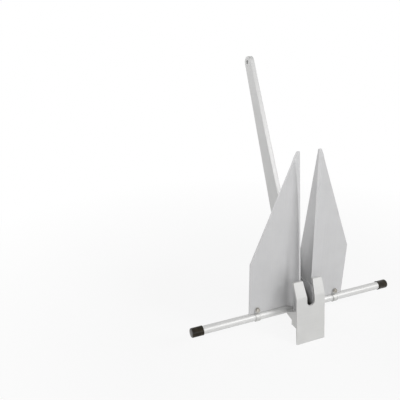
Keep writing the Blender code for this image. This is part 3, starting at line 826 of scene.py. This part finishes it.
def palm_half(sign, turn):
    """One half: columns from the slot to the end, doubled at each milled step, and two
    rows at the rib's lower face."""
    z = np.sort(np.concatenate([palm_rows(), [RIB_LOW]]))
    under = np.zeros(len(z), bool)
    under[np.searchsorted(z, RIB_LOW)] = True
    drop = np.clip((z - SLOT_FLOOR).round(6), 0, SLOT_HALF)
    slot = np.sqrt(SLOT_HALF ** 2 - (SLOT_HALF - drop) ** 2)
    slot = slot + SLOT_FLARE * np.clip((z - BEND_Z) / (PALM_TOP_Z - BEND_Z), 0, None)
    past = np.clip(z - (PALM_TOP_Z - EAR_CORNER), 0, EAR_CORNER)
    rounded = EAR_CORNER - np.sqrt(EAR_CORNER ** 2 - past ** 2)
    slot = slot + rounded
    lean_out = SPLAY * z
    steps = [slot, PLATE_NOTCH + lean_out, PLATE_NOTCH + lean_out,
             FLANGE_NOTCH + lean_out, FLANGE_NOTCH + lean_out]
    kinds = ["land", "land", "plate", "plate", "rib"]
    if sign < 0:
        steps += [place + 0 * z for place in (POCKET, POCKET, POCKET_END, POCKET_END)]
        kinds += ["rib", "pocket", "pocket", "rib"]
    steps.append(PALM_HALF - rounded)
    kinds.append("rib")
    back = plate_back(z)
    rib = np.where(under, back, np.maximum(rib_back(z), back))
    depth_of = {"rib": rib, "land": np.minimum(rib, back + LAND),
                "plate": np.minimum(rib, np.maximum(PLATE_NOTCH_Y, back)),
                "pocket": np.minimum(rib, np.maximum(POCKET_Y, back))}
    steps = np.clip(np.stack(steps, axis=1), slot[:, None], (PALM_HALF - rounded)[:, None])
    x = sign * steps
    y_back = np.stack([depth_of[kind] for kind in kinds], axis=1)
    y_front = np.broadcast_to(palm_front(z)[:, None], x.shape)
    rows = np.broadcast_to(z[:, None], x.shape)
    return (np.stack([turn * x, turn * y_front, rows], axis=-1),
            np.stack([turn * x, turn * y_back, rows], axis=-1))


for name, turn in (("palm_front", 1), ("palm_rear", -1)):
    right, left = palm_half(1, turn), palm_half(-1, turn)
    below_slot = right[0][:, 0, 2] <= SLOT_FLOOR + 1e-7
    points, faces = two_halves(right, left, below_slot)
    piece(name + "_extruded", points, faces, palm_alloy, CROWN, [name],
          bevel=0.5 * MM)

# %% [markdown]
# ### Crown plates
# Between each flange and the shank stands a plain sawn plate.  Its top edge shows through
# the slot.  Its half width is a few straight lines by height, given by their corners.  As
# the shank, it is drawn half by half, from the middle or from the bore.

# %% Crown plates
PLATE = 3.6 * MM
plate_size, plate_middle = node_size("crown_plate_right")
PLATE_TOP = plate_middle[2] + plate_size[2] / 2
PLATE_LOW = plate_middle[2] - plate_size[2] / 2
PLATE_WIDE = plate_size[1] / 2
PLATE_CUT = 12 * MM
PLATE_SHOULDER, PLATE_NECK, NECK_CUT = 50 * MM, 61 * MM, 4 * MM
TOP_HALF = 38 * MM
plate_corners = np.array([PLATE_LOW, PLATE_LOW + PLATE_CUT, PLATE_SHOULDER, PLATE_NECK,
                          PLATE_TOP])
plate_halves = np.array([PLATE_WIDE - PLATE_CUT, PLATE_WIDE, PLATE_WIDE,
                         PLATE_WIDE - NECK_CUT, TOP_HALF])
plate_rows = np.sort(np.concatenate([plate_corners, bore_rows]))


def plate_half(side, sign):
    """Half a plate, from the middle or the bore to the outline, as two sheets."""
    half, inner = np.interp(plate_rows, plate_corners, plate_halves), half_chord(plate_rows)
    share = np.linspace(0, 1, 4)[None, :]
    y = sign * (inner[:, None] + (half - inner)[:, None] * share)
    z = np.broadcast_to(plate_rows[:, None], y.shape)
    outer = FLANGE_GAP - FIT + SPLAY * z
    return [np.stack([side * (outer - inset), y, z], axis=-1) for inset in (0, PLATE)]


for name, side in (("crown_plate_left", -1), ("crown_plate_right", 1)):
    points, faces = two_halves(plate_half(side, 1), plate_half(side, -1),
                               np.abs(plate_rows) >= BORE - 1e-6)
    piece(name + "_sawn", points, faces, plate_alloy, CROWN, [name],
          bevel=0.4 * MM)

# %% [markdown]
# ## Fasteners
# All bolts and nuts here are hexagon ones.  Their corners are turned off by a 30 degree
# cone, which draws the curved edges that every real nut has: in the formula the hexagon
# and the cone meet by taking the smaller of the two radii.

# %% Bolt, nut and washer shapes
BOLT, FLATS, WASHER = 3.0 * MM, 5.0 * MM, 6.0 * MM
HEAD, NUT, WASHER_THICK = 4.0 * MM, 5.0 * MM, 1.2 * MM
CONE = 1.06 * FLATS
PAST_CORNERS = 1.1 * CONE
CONE_LONG, HEAD_FOOT = 0.9 * MM, 0.25 * MM
PITCH, THREAD, BOLT_POINT = 1.0 * MM, 0.2 * MM, 0.5 * MM
HEX_SIDES = 48
ROUND = 1.0  # a hexagon so large that it cuts nothing off


def hex_bolt(under_head, end):
    """Head from under_head to the right, shaft down to end; the thread is a small wave in
    the radius whose phase turns once round the shaft in each pitch."""
    top = under_head + HEAD
    head_x = np.array([top, top, top - CONE_LONG, under_head + HEAD_FOOT, under_head,
                       under_head])
    head_r = np.array([0, FLATS * 0.9, PAST_CORNERS, PAST_CORNERS, CONE * 0.98, BOLT])
    shaft_x = np.linspace(under_head - PITCH, end + BOLT_POINT, 120)
    core = BOLT - THREAD
    along = np.concatenate([head_x, shaft_x, [end, end]])
    radius = np.concatenate([head_r, 0 * shaft_x + core, [core - BOLT_POINT, 0]])
    flats = np.where(np.arange(len(along)) < 5, FLATS, ROUND)
    points, faces = turned(along, radius, HEX_SIDES, flats, closed=False)
    threaded = slice(len(head_x), len(head_x) + len(shaft_x))
    angle = np.linspace(0, 2 * np.pi, HEX_SIDES, endpoint=False)
    wave = THREAD * np.cos(2 * np.pi * shaft_x[:, None] / PITCH + angle)
    points[threaded, :, 1:] *= (1 + wave / core)[:, :, None]
    return points, faces


def hex_nut(low):
    """A hexagon ring with a cone at both ends."""
    hole = BOLT + 0.1 * MM
    along = low + np.array([0, 0, CONE_LONG, NUT - CONE_LONG, NUT, NUT])
    radius = [hole, CONE * 0.9, PAST_CORNERS, PAST_CORNERS, CONE * 0.9, hole]
    return turned(along, radius, HEX_SIDES, flats=[FLATS] * 6)


def flat_washer(low):
    """A flat ring with softened outer edges."""
    hole, soft = BOLT + 0.3 * MM, 0.15 * MM
    along = low + np.array([0, 0, soft, WASHER_THICK - soft, WASHER_THICK, WASHER_THICK])
    radius = [hole, WASHER - soft, WASHER, WASHER, WASHER - soft, hole]
    return turned(along, radius, sides=64)


# %% [markdown]
# A fastener is made lying along X, with the bolt's head on the right.  A crown bolt stays
# so at the front, and at the rear the same stack is turned half way round.  A strap's
# bolt points to the front instead.  Where each piece starts along its bolt is read from
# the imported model, and counted backwards where the stack is turned round.

# %% Put fasteners in place
def to_place(points, quarter_turns, shift):
    """Turn about Z by quarter turns, then move."""
    c, s = np.cos(quarter_turns * np.pi / 2), np.sin(quarter_turns * np.pi / 2)
    x, y, z = np.moveaxis(points, -1, 0)
    return np.stack([c * x - s * y, s * x + c * y, z], axis=-1) + np.array(shift)


def span(node, axis, backwards=False):
    """Where a node starts and ends along an axis, from the stock's middle."""
    low, high = (corner[axis] - STOCK[axis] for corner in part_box(node))
    return (-high, -low) if backwards else (low, high)


def fasteners(place, end, axis, quarter_turns, shift):
    """One bolt with its nut and two washers, all on one line."""
    for kind in ("bolt", "nut", "head_washer", "nut_washer"):
        node = f"{place}_{kind}_{end}"
        low, high = span(node, axis, backwards=quarter_turns > 0)
        if kind == "bolt":
            points, faces = hex_bolt(high - HEAD, low)
        elif kind == "nut":
            points, faces = hex_nut(low)
        else:
            points, faces = flat_washer(low)
        piece(node + "_steel", to_place(points, quarter_turns, shift), faces, bolt_steel,
              CROWN, [node])


fasteners("crown", "front", 0, 0, (0, -CROWN_BOLT_Y, CROWN_BOLT_Z))
fasteners("crown", "rear", 0, 2, (0, CROWN_BOLT_Y, CROWN_BOLT_Z))
for end in ("left", "right"):
    _, bolt_middle = node_size("strap_bolt_" + end)
    fasteners("strap", end, 1, 3, (bolt_middle[0], 0, bolt_middle[2]))

# %% [markdown]
# Each crown bolt also carries a spacer sleeve between the crown plates: a short tube.

# %% Sleeves
SLEEVE, SLEEVE_BORE = 5.0 * MM, BOLT + FIT
for end, sign in (("front", -1), ("rear", 1)):
    node = "crown_sleeve_" + end
    low, high = span(node, 0)
    points, faces = turned([low, high, high, low],
                           [SLEEVE, SLEEVE, SLEEVE_BORE, SLEEVE_BORE], sides=64)
    points = to_place(points, 0, (0, sign * CROWN_BOLT_Y, CROWN_BOLT_Z))
    piece(node + "_turned", points, faces, tube_alloy, CROWN, [node],
          bevel=0.3 * MM)

# %% [markdown]
# ## Straps
# At each fluke's heel a strip of sheet is bent round the stock and bolted through the
# wing.  It is a rectangle carried along a path: up one face, round the tube, up the other.
# Each ear's end is rounded, so the strip narrows there like the end of a circle.

# %% Strap surface
STRIP = 1.5 * MM
strap_size, strap_middle = node_size("stock_strap_left")
STRAP_HALF = strap_size[0] / 2
EAR_TOP = strap_middle[2] + strap_size[2] / 2
BEND_START = 1.2 * MM


def strap_path():
    """Middle line in Y and Z, and its outward normal: two straights and an arc."""
    ring = TUBE_RADIUS + FIT + STRIP / 2
    ear = WING / 2 + FIT + STRIP / 2
    start = np.arccos(ear / ring)
    angle = np.linspace(start, -np.pi - start, 48)
    arc = np.stack([ring * np.cos(angle), ring * np.sin(angle)], axis=1)
    arc_out = np.stack([np.cos(angle), np.sin(angle)], axis=1)
    ease = 1 - np.cos(np.linspace(0, np.pi / 2, 9))
    up = EAR_TOP - (EAR_TOP - ring * np.sin(start) - BEND_START) * ease
    near = np.stack([0 * up + ear, up], axis=1)
    far = near[::-1] * np.array([-1, 1])
    side_out = np.array([[1.0, 0.0]])
    path = np.concatenate([near, arc, far])
    out = np.concatenate([np.repeat(side_out, len(near), 0), arc_out,
                          np.repeat(-side_out, len(far), 0)])
    return path, out


def strap_grid(middle_x):
    """Four corners at each place on the path: half the thickness along the normal and
    half the width along X, narrowed to a half circle towards the ears' ends."""
    path, out = strap_path()
    left = np.clip(EAR_TOP - path[:, 1], 0, STRAP_HALF)
    half = np.sqrt(np.clip(STRAP_HALF ** 2 - (STRAP_HALF - left) ** 2, 0, None))
    corners = []
    for across, through in ((-1, -1), (1, -1), (1, 1), (-1, 1)):
        place = path + out * (through * STRIP / 2)
        x = middle_x + across * half
        corners.append(np.column_stack([x, place]))
    return np.stack(corners, axis=1)


for end in ("left", "right"):
    node = "stock_strap_" + end
    points = strap_grid(node_size(node)[1][0])
    faces = grid_faces(points.shape[0], 4, close_columns=True).tolist()
    piece(node + "_bent", points, faces, strap_steel, CROWN, [node],
          bevel=0.25 * MM)

# %% [markdown]
# ## Camera
# The photograph was taken from the front left and a little above.  The camera's place is
# written from the stock's middle, in units of 0.61 m, in which it was measured.

# %% Camera
UNIT = 0.61
SENSOR_MM, LENS_MM = 36.0, 43.16
camera_data = bpy.data.cameras.new("camera")
camera_data.sensor_width = SENSOR_MM
camera_data.lens = LENS_MM
camera = bpy.data.objects.new("camera", camera_data)
bpy.context.scene.collection.objects.link(camera)
camera_place = STOCK + UNIT * np.array([-1.0987, -1.5112, 1.2025])
looks_at = STOCK + UNIT * np.array([-0.4628, 0.0, 0.5735])
camera.location = camera_place
gaze = Vector(looks_at - camera_place)
camera.rotation_euler = gaze.to_track_quat("-Z", "Y").to_euler()
bpy.context.scene.camera = camera
print("camera at", camera_place.round(3), "looks at", looks_at.round(3))

# %% [markdown]
# ## Floor and light
# A white paper floor in a room of soft light.  Its shader is a mix: lit paper, which takes
# the anchor's shadow, and plain white, which runs into the background.  Close to the
# anchor there is some paper in the mix, and a metre away there is none.

# %% Floor
FLOOR_RADIUS = 6.0
SHADOW_SHARE = 0.13
SHADOW_NEAR, SHADOW_FAR = 0.45, 1.3


def white_paper():
    """Lit paper and plain white, mixed by the distance from the stock's middle."""
    paper = Finish("white_paper", Base_Color=(0.9, 0.9, 0.9, 1), Roughness=0.8)
    fade = 1 - paper.spread(paper.far(paper.place()), SHADOW_NEAR, SHADOW_FAR)
    white = paper.seen() * (1 - SHADOW_SHARE * fade)
    glow = paper.node("ShaderNodeEmission", values={"Color": (1, 1, 1, 1), "Strength": 1.0})
    lit = Wire(paper, paper.shader.outputs[0])
    mixed = paper.node("ShaderNodeMixShader", values={0: white, 1: lit, 2: glow})
    paper.link(mixed, paper.tree.nodes["Material Output"], "Surface")
    return paper.material


ring = np.linspace(0, 2 * np.pi, 97)[:-1]
floor_points = FLOOR_RADIUS * np.stack([np.cos(ring), np.sin(ring), 0 * ring], axis=1)
floor_mesh = bpy.data.meshes.new("floor")
floor_mesh.from_pydata(floor_points.tolist(), [], [list(range(len(ring)))])
floor_mesh.materials.append(white_paper())
floor = bpy.data.objects.new("floor", floor_mesh)
bpy.context.scene.collection.objects.link(floor)
print("floor of radius", FLOOR_RADIUS, "m")

# %% [markdown]
# The world is white where it is seen, straight or in a mirror, and a softer grey dome
# where it only lights the anchor.

# %% World
DOME = 0.35
world = bpy.data.worlds.new("dome")
bpy.context.scene.world = world
world.use_nodes = True
sky = Network(world.node_tree)
background = sky.tree.nodes["Background"]
background.inputs["Color"].default_value = (1, 1, 1, 1)
sky.link(sky.spread(sky.seen(), 0.0, 1.0, DOME, 1.0), background, "Strength")
print("dome strength", DOME)

# %% [markdown]
# Three soft boxes shape the metal.  The key stands high in front on the right, so that the
# palms' ears and the shank's front catch it.  A wide one in front lifts the shadows, and
# one behind on the left lights the long side of the shank.

# %% Lamps
KEY, FRONT, REAR_LEFT = 18, 16, 17
LAMPS_AIM = Vector((0.0, 0.0, 0.25))


def soft_box(name, place, width, height, watts):
    """A lamp with a rectangular face that looks at the anchor."""
    light = bpy.data.lights.new(name, "AREA")
    light.shape = "RECTANGLE"
    light.size, light.size_y = width, height
    light.energy = watts
    box = bpy.data.objects.new(name, light)
    bpy.context.scene.collection.objects.link(box)
    box.location = place
    aim = LAMPS_AIM - Vector(place)
    box.rotation_euler = aim.to_track_quat("-Z", "Y").to_euler()
    print(name, "lamp:", watts, "W")


soft_box("key", (1.3, -1.9, 1.7), 0.8, 0.8, KEY)
soft_box("front", (-0.3, -2.8, 1.0), 1.8, 1.2, FRONT)
soft_box("rear_left", (-2.0, 1.9, 1.2), 1.2, 1.2, REAR_LEFT)

# %% [markdown]
# The Standard view shows a colour as it is written, without the curve of a film.

# %% View settings
bpy.context.scene.view_settings.view_transform = "Standard"
print("view:", bpy.context.scene.view_settings.view_transform)
